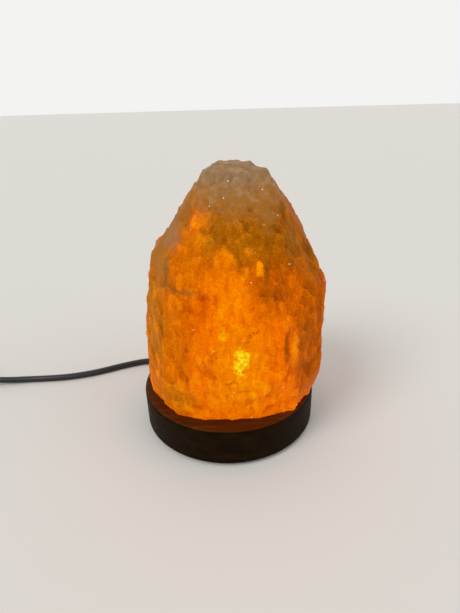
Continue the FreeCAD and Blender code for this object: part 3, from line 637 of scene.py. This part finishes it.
# salt finish
salt = {
    "orange": tone(248, 112, 0), "deep": tone(234, 98, 0), "bright": tone(255, 130, 0),
    "amber": tone(206, 104, 0), "olive": tone(184, 106, 2), "brown": tone(176, 84, 0),
    "umber": tone(146, 82, 4), "dusk": tone(166, 96, 6), "frost": tone(146, 118, 86),
    "haze": tone(162, 106, 44), "speck": tone(188, 66, 0), "crack": tone(118, 72, 14),
    "moss": tone(116, 88, 36),
    "yellow": tone(255, 224, 24), "glow": tone(255, 158, 0), "glint": tone(255, 248, 232),
    "gold": tone(164, 88, 0), "ember": tone(232, 112, 0), "rime": tone(178, 144, 108),
    "grime": tone(124, 88, 48),
    # the next three tones tint the dark streaks, the pale streaks with the painted highlight on
    # what stands out, and the painted shade in hollows
    "darker": tone(205, 180, 150), "lighter": tone(255, 252, 240), "paintedPitShade": tone(178, 140, 100),
    # where the bulb shows through, and the frosted top: middle and half sizes
    "hot": ((7.6, -56, 73.5), (7.2, 17, 16)), "core": ((7.6, -56, 76), (4.6, 16, 8.5)),
    "halo": ((7, -56, 72), (15, 20, 25)), "behind": ((2, 55, 72), (9, 16, 16)),
    "top": ((8, -2, 172), (36, 44, 18)),
    "bulbSoft": 0.9, "topSoft": 0.7,
    # regions and marks: tone, middle, half sizes, softness, strength
    "regions": [
        ("amber", (-42, -30, 84), (27, 40, 60), 0.45, 0.9),
        ("olive", (-50, -22, 96), (15, 40, 44), 0.5, 0.9),
        ("olive", (-32, -44, 44), (13, 20, 11), 0.6, 0.8),
        ("brown", (58, -36, 84), (21, 42, 56), 0.3, 1),
        ("brown", (28, -44, 118), (15, 20, 18), 0.5, 0.85),
        ("dusk", (12, -30, 150), (46, 40, 21), 0.45, 0.95),
        ("umber", (44, -16, 148), (30, 40, 26), 0.35, 0.9),
        ("umber", (24, 30, 140), (50, 30, 30), 0.5, 0.7),
        ("brown", (-20, 50, 60), (30, 20, 40), 0.6, 0.6),
        ("amber", (30, 50, 90), (26, 20, 40), 0.6, 0.8),
        ("olive", (-55, 20, 70), (14, 26, 40), 0.6, 0.8),
        ("brown", (62, 20, 70), (14, 30, 30), 0.6, 0.7),
        ("bright", (-14.5, -27, 148), (6, 11, 8), 0.8, 0.9),
        ("bright", (-1.2, -45, 133), (4.5, 8, 4.5), 0.5, 0.7),
        ("bright", (2, -51, 114), (11, 10, 12), 0.6, 0.7),
        ("amber", (-24, -36, 128), (12, 18, 16), 0.6, 0.8),
        ("bright", (18.4, -45.7, 127), (2.0, 6, 5), 0.3, 0.85),
        ("olive", (8.5, -44, 130), (3, 7, 6), 0.5, 0.5),
        ("umber", (50, -12, 136), (16, 30, 26), 0.4, 0.8),
        ("amber", (38.6, -15, 150), (3, 10, 20), 0.4, 0.35),
        ("bright", (39, -51, 80), (2.4, 7, 12), 0.5, 0.6),
        ("glow", (-2.8, -55.4, 93), (2.0, 7, 4.6), 0.3, 0.7),
        ("bright", (5, -53, 50), (26, 16, 12), 0.6, 0.5),
    ],
    "frosted": [
        ("haze", (6, -4, 168), (34, 40, 17), 0.55, 0.95),
        ("frost", (8, 0, 176), (32, 40, 13), 0.6, 0.95),
        ("haze", (-25, -6, 151), (6, 24, 15), 0.5, 0.8),
        ("haze", (-37, -6, 137), (8, 22, 15), 0.5, 0.85),
        ("frost", (-30, -20, 140), (5, 12, 8), 0.6, 0.7),
        ("haze", (-37, -26, 126), (6, 14, 16), 0.5, 0.75),
        ("haze", (25, -26, 154), (5, 9, 15), 0.5, 0.8),
        ("gold", (42, -8, 150), (9, 16, 24), 0.4, 0.85),
        ("haze", (39, -24, 139), (3, 6, 8), 0.5, 0.5),
        ("haze", (-43, -31, 88), (1.6, 8, 22), 0.5, 0.45),
        ("frost", (10, 20, 170), (30, 20, 12), 0.5, 0.8),
        ("haze", (-20, 30, 148), (14, 14, 14), 0.6, 0.6),
        ("haze", (50, 20, 112), (9, 16, 16), 0.6, 0.5),
    ],
    "cracks": [
        ("moss", (-33.6, -34, 120), (1.3, 7, 9), 0.9, 0.6),
        ("moss", (-25, -42, 114.4), (11, 12, 1.2), 0.9, 0.6),
        ("crack", (-38.5, -36, 78), (1.2, 8, 20), 0.7, 0.35),
        ("crack", (34.2, -53, 82), (1.0, 8, 13), 0.7, 0.6),
        ("crack", (34, -20, 152), (1.2, 7, 12), 0.7, 0.5),
        ("crack", (40, -22, 139), (1.2, 7, 8), 0.7, 0.5),
        ("crack", (14.7, -28, 155), (1.3, 6, 1.3), 0.6, 0.8),
        ("crack", (12, -35, 145.5), (1.8, 7, 1.6), 0.6, 0.6),
        ("crack", (22.5, -44, 121), (1.6, 8, 10), 0.8, 0.5),
        ("crack", (-11, -34, 145), (2, 7, 2), 0.7, 0.5),
        ("speck", (13, -55, 90), (1.3, 4, 1.3), 0.6, 0.8),
        ("speck", (10.5, -55, 86.8), (1.6, 4, 1), 0.6, 0.7),
        ("speck", (16, -55, 92), (1.0, 4, 1.6), 0.6, 0.7),
        ("speck", (2, -56, 61), (5, 6, 0.9), 0.7, 0.6),
    ],
}


def saltFinish(look):
    finish = Finish("saltGlow", {"Specular IOR Level": 0.03,
                                 "Specular Tint": tone(255, 168, 60)})
    drift = finish.astray(7, 4.5)
    ragged = finish.astray(3, 7, 5.0, drift)
    torn = finish.astray(1.3, 0.9, 3.0)
    relief = finish.node("ShaderNodeAttribute", {"attribute_name": "relief"}, {}, "Fac")
    patchy = finish.cloud(13, 4)
    streaks = finish.cloud(3.2, 5, stretch=(1, 1, 0.36))
    fine = finish.cloud(1.3, 3, stretch=(1, 1, 0.6))

    def painted(colour, marks, vector):
        for name, middle, half, soft, strength in marks:
            share = finish.spot(middle, half, soft, vector) * strength
            colour = finish.mix(share, colour, look[name])
        return colour

    colour = finish.mix(finish.step(patchy, 0.46, 0.66) * 0.8, look["orange"], look["deep"])
    dimmer = finish.step(finish.part("Z") + patchy * 0.02, 0.11, 0.172)   # painted shade: the glow is painted dimmer far from the bulb
    colour = finish.mix(dimmer * 0.75, colour, look["dusk"])
    colour = painted(colour, look["regions"], finish.astray(2.6, 2.2, 5.0, drift))
    # the bulb shows through as a mottled yellow patch, on the front and faintly at the back
    mottle = finish.cloud(1.9, 3, stretch=(1, 1, 0.7)) * 0.75 + relief * 0.25
    hot, core, halo, behind = [finish.spot(*look[name], look["bulbSoft"])
                               for name in ("hot", "core", "halo", "behind")]
    # painted light: a wide glow round the bulb
    colour = finish.mix(halo * 0.42, colour, look["glow"])
    grain = finish.cloud(0.75, 3, stretch=(1, 1, 0.7), shift=(0.1, 0.2, 0))
    dark = (finish.step(streaks, 0.5, 0.7) * 0.4 + finish.step(fine, 0.5, 0.72) * 0.25 +
            finish.step(grain, 0.5, 0.68) * 0.35)
    colour = finish.mix(dark, colour, finish.mix(1, colour, look["darker"], "MULTIPLY"))
    # pale streaks and grain, plus a painted highlight on what stands out
    light = (finish.step(streaks, 0.48, 0.3) * 0.35 + finish.step(relief, 0.1, 0.7) * 0.4 +
             finish.step(grain, 0.48, 0.34) * 0.3)
    colour = finish.mix(light, colour, finish.mix(1, colour, look["lighter"], "OVERLAY"))
    # painted shade: the colour is darker in the hollows of the surface
    paintedPitShade = finish.step(relief, -0.15, -0.9) * 0.45
    colour = finish.mix(paintedPitShade, colour, finish.mix(1, colour, look["paintedPitShade"], "MULTIPLY"))
    thick = finish.step(finish.cloud(6, 3, shift=(0.2, 0.1, 0)), 0.36, 0.62)
    grains = finish.step(finish.cells(2.1, vector=torn), thick * 0.34 + 0.02, 0.0)
    colour = finish.mix(grains * 0.68, colour, look["speck"])
    colour = painted(colour, look["frosted"], ragged)
    frost = finish.spot(*look["top"], look["topSoft"], ragged)
    rime = finish.step(finish.cloud(4.5, 6), 0.42, 0.7)
    colour = finish.mix(rime * frost * 0.65, colour, look["rime"])
    grime = finish.step(finish.cloud(3.4, 5, shift=(0.3, 0, 0.1)), 0.48, 0.7)
    colour = finish.mix(grime * frost * 0.55, colour, look["grime"])
    colour = painted(colour, look["cracks"], drift)
    # painted light: the bulb's hot spot, yellow at its core, with veins in it and a fainter one at
    # the back
    colour = finish.mix(finish.step(hot * (mottle + 0.38), 0.5, 0.72) * 0.9, colour, look["glow"])
    colour = finish.mix(finish.step(hot * (mottle + 0.38) + core * 0.12, 0.6, 0.84), colour,
                        look["yellow"])
    colour = finish.mix(finish.step(behind * (mottle + 0.3), 0.5, 0.9) * 0.6, colour, look["glow"])
    threads = finish.step(finish.cells(2.3, vector=finish.astray(1.6, 1.4)), 0.4, 0.62)
    colour = finish.mix(threads * hot * 0.5, colour, look["ember"])
    # painted glints: a few tiny white emission spots, more of them on the frosted top
    paintedGlints = finish.step(finish.cells(2.7), 0.2, 0.08) * finish.step(
        finish.node("ShaderNodeSeparateColor", {}, {0: finish.cells(2.7, "Color")}) +
        frost * 0.06, 0.98, 0.995)
    # painted glow: the bulb's light through the salt is painted as emission, weaker on the frosted
    # top
    finish.put("Base Color", finish.scaled(colour, 0.34 + frost * 0.4))
    colour = finish.mix(paintedGlints * 0.7, finish.scaled(colour, 0.68 - frost * 0.4), look["glint"])
    finish.put("Emission Color", colour)
    finish.put("Emission Strength", 1.0)
    finish.put("Roughness", 0.34 + finish.cloud(3) * 0.3)
    finish.bump(streaks * 0.5 + fine * 0.45 - grains * 0.25, 0.7)
    return finish.material


# other finishes
wood = {"dark": tone(18, 10, 1), "light": tone(31, 18, 5), "pore": tone(8, 5, 1),
        "lit": tone(74, 33, 6), "litLight": tone(90, 46, 12),
        "litFrom": 26.9, "litTo": 27.7}      # heights over which the lit top begins


def woodFinish(look):
    finish = Finish("stainedWood", {"Specular IOR Level": 0.05,
                                    "Specular Tint": tone(255, 214, 160)})
    sweep = finish.cloud(16, 2, stretch=(0.12, 1, 1), output="Color")
    bent = finish.node("ShaderNodeVectorMath", {"operation": "MULTIPLY_ADD"}, {
        0: sweep, 1: (4 * mm,) * 3, 2: finish.where})
    lines = finish.cloud(2.4, 5, stretch=(0.06, 1, 0.6), vector=bent)
    pores = finish.cloud(0.7, 2, stretch=(0.05, 1, 1), vector=bent)
    figure = finish.step(lines, 0.4, 0.64)
    pore = finish.step(pores, 0.6, 0.68)
    plain = finish.mix(figure, look["dark"], look["light"])
    lit = finish.mix(figure, look["lit"], look["litLight"])
    # painted light: the top face takes a lighter, warmer copy of the wood, as if lit by the
    # glowing rock
    top = finish.step(finish.part("Z"), look["litFrom"] * mm, look["litTo"] * mm)
    colour = finish.mix(top, plain, lit)
    finish.put("Base Color", finish.mix(pore * 0.4, colour, look["pore"]))
    finish.put("Roughness", 0.5 + figure * 0.16)
    finish.bump(lines * 0.7 - pore * 0.5, 0.18)
    return finish.material


def moulded(name, colour, roughness, size=0.5, depth=0.04, shine=0.5):
    # plastic or rubber with a moulded grain, a little uneven in tone
    finish = Finish(name, {"Specular IOR Level": shine})
    dusty = finish.step(finish.cloud(6, 3), 0.35, 0.75)
    pale = tuple(min(part * 1.7 + 0.004, 1) for part in colour[:3]) + (1,)
    finish.put("Base Color", finish.mix(dusty * 0.5, colour, pale))
    grain = finish.cloud(size, 2)
    finish.put("Roughness", roughness - 0.06 + grain * 0.12)
    finish.bump(grain, depth)
    return finish.material


def metal(name, colour, roughness, stretch=(1, 1, 1)):
    # plated or drawn metal, with fine lines and dull patches
    finish = Finish(name, {"Metallic": 1.0})
    lines = finish.cloud(0.5, 3, stretch=stretch)
    dull = finish.step(finish.cloud(3.5, 3), 0.45, 0.7)
    dark = tuple(part * 0.55 for part in colour[:3]) + (1,)
    finish.put("Base Color", finish.mix(dull * 0.35, colour, dark))
    finish.put("Roughness", roughness + lines * 0.15 + dull * 0.1)
    finish.bump(lines, 0.02)
    return finish.material


def glass(name, colour, roughness):
    finish = Finish(name, {"Roughness": roughness, "IOR": 1.5, "Transmission Weight": 1.0})
    haze = finish.step(finish.cloud(9, 2), 0.4, 0.8)
    warm = tuple(part * 0.93 for part in colour[:3]) + (1,)
    finish.put("Base Color", finish.mix(haze, colour, warm))
    return finish.material


def coreFinish():
    # one core is brown and the other blue
    finish = Finish("coreSleeves", {"Roughness": 0.4})
    side = finish.step(finish.part("X"), (standShift - 1) * mm, (standShift + 1) * mm)
    colour = finish.mix(side, tone(92, 48, 24), tone(30, 62, 140))
    finish.put("Base Color", finish.mix(finish.cloud(1.2, 2) * 0.3, colour, tone(24, 22, 26)))
    return finish.material


def strapFinish():
    finish = Finish("wovenTie", {"Roughness": 0.7})
    weave = finish.node("ShaderNodeTexWave", {"bands_direction": "DIAGONAL"}, {
        "Vector": finish.where, "Scale": 900.0, "Distortion": 0.6})
    finish.put("Base Color", finish.mix(weave, tone(26, 26, 27), tone(58, 57, 56)))
    finish.bump(weave, 0.15)
    return finish.material


def tungstenFinish():
    finish = Finish("hotFilament", {"Roughness": 0.5})
    glow = finish.cloud(2, 2)
    finish.put("Base Color", tone(90, 84, 80))
    finish.put("Emission Color", finish.mix(glow, tone(255, 168, 60), tone(255, 206, 120)))
    finish.put("Emission Strength", 6.0)
    return finish.material


finishes = {
    "salt": saltFinish(salt),
    "stained_wood": woodFinish(wood),
    "black_rubber": moulded("footRubber", tone(30, 30, 31), 0.75, 0.8, 0.06, 0.3),
    "zinc_steel": metal("zincScrews", tone(196, 197, 196), 0.3),
    "grey_nylon": moulded("sleeveNylon", tone(170, 170, 172), 0.55),
    "spring_steel": metal("clipSteel", tone(182, 184, 188), 0.25, stretch=(0.1, 1, 1)),
    "black_plastic": moulded("holderPlastic", tone(28, 28, 29), 0.42, 0.6, 0.05),
    "white_ceramic": moulded("blockCeramic", tone(228, 224, 214), 0.45, 1.2, 0.03),
    "brass": metal("pressedBrass", tone(214, 178, 98), 0.22),
    "brass_screws": metal("turnedBrass", tone(206, 172, 96), 0.3, stretch=(1, 1, 8)),
    "wire_insulation": coreFinish(),
    "cord_pvc": moulded("cordSheath", tone(14, 14, 15), 0.38, 1.4, 0.03),
    "switch_plastic": moulded("switchPlastic", tone(20, 20, 21), 0.3, 0.7, 0.03),
    "rocker_plastic": moulded("rockerPlastic", tone(34, 34, 35), 0.22, 0.9, 0.02),
    "tie_strap": strapFinish(),
    "plug_plastic": moulded("plugPlastic", tone(18, 18, 19), 0.45, 0.6, 0.05),
    "nickel_prongs": metal("nickelPins", tone(208, 205, 196), 0.16, stretch=(0.1, 1, 1)),
    "prong_plastic": moulded("pinSleeves", tone(24, 24, 25), 0.35),
    "solder": metal("solderDrop", tone(172, 172, 170), 0.38),
    "black_glass": moulded("vitrite", tone(22, 22, 26), 0.12, 2.0, 0.02),
    "nickel_cap": metal("nickelCap", tone(206, 200, 182), 0.24, stretch=(1, 1, 6)),
    "bulb_glass": glass("bulbGlass", tone(252, 248, 240), 0.02),
    "stem_glass": glass("stemGlass", tone(246, 246, 242), 0.05),
    "nickel_wire": metal("supportWire", tone(176, 172, 164), 0.3),
    "tungsten": tungstenFinish(),
}
markFinish = moulded("whiteMark", tone(214, 214, 210), 0.4)

for entry in frame["record"]["subparts"]:
    node = nodes[entry["node"]]
    for holder in node.material_slots:
        holder.material = finishes[entry["material_slot"]]
    if not node.material_slots:
        node.data.materials.append(finishes[entry["material_slot"]])
for piece in bpy.data.objects:
    if "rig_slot" in piece:
        piece.data.materials.append(finishes[piece["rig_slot"]])
for mark in (onMark, offMark):
    mark.data.materials[0] = markFinish
print("finishes")


# floor, light and background
studio = {"floor": 40.0, "floorTone": tone(226, 223, 218), "worldTone": (1.0, 0.99, 0.975, 1),
          "ambient": 0.62, "backdrop": (0.9, 0.895, 0.885, 1)}
lamps = {      # where each soft lamp shines from, its strength and its width in degrees
    "keyLamp": {"place": (-0.9, -0.8, 1.3), "strength": 1.15, "width": 28},
    "fillLamp": {"place": (1.2, -0.5, 0.8), "strength": 0.4, "width": 50},
}


def layFloor(sizes):
    form = bmesh.new()
    bmesh.ops.create_circle(form, cap_ends=True, segments=96, radius=sizes["floor"])
    mesh = bpy.data.meshes.new("floor")
    form.to_mesh(mesh)
    form.free()
    floor = addObject("floor", mesh)
    finish = Finish("paleFloor", {"Roughness": 0.8, "Specular IOR Level": 0.2})
    finish.put("Base Color", sizes["floorTone"])
    mesh.materials.append(finish.material)


def lightWorld(sizes):
    world = bpy.data.worlds.new("studio")
    bpy.context.scene.world = world
    world.use_nodes = True
    tree = world.node_tree
    plain = tree.nodes["Background"]
    plain.inputs["Color"].default_value = sizes["worldTone"]
    plain.inputs["Strength"].default_value = sizes["ambient"]
    seen = tree.nodes.new("ShaderNodeBackground")
    seen.inputs["Color"].default_value = sizes["backdrop"]
    rays = tree.nodes.new("ShaderNodeLightPath")
    unlit = rays.outputs["Is Camera Ray"]
    for kind in ("Is Transmission Ray", "Is Glossy Ray"):    # glass and metal show it too
        either = tree.nodes.new("ShaderNodeMath")
        either.operation = "MAXIMUM"
        tree.links.new(unlit, either.inputs[0])
        tree.links.new(rays.outputs[kind], either.inputs[1])
        unlit = either.outputs[0]
    choose = tree.nodes.new("ShaderNodeMixShader")
    tree.links.new(unlit, choose.inputs[0])
    tree.links.new(plain.outputs[0], choose.inputs[1])
    tree.links.new(seen.outputs[0], choose.inputs[2])
    tree.links.new(choose.outputs[0], tree.nodes["World Output"].inputs["Surface"])


def hangLamp(name, sizes):
    light = bpy.data.lights.new(name, "SUN")
    light.energy = sizes["strength"]
    light.angle = math.radians(sizes["width"])
    lamp = addObject(name, light)
    lamp.location = sizes["place"]
    aim = Vector((0, 0, 0.08)) - lamp.location
    lamp.rotation_euler = aim.to_track_quat("-Z", "Y").to_euler()


layFloor(studio)
lightWorld(studio)
for name, sizes in lamps.items():
    hangLamp(name, sizes)
bpy.context.scene.view_settings.view_transform = "Standard"
print("floor and light")
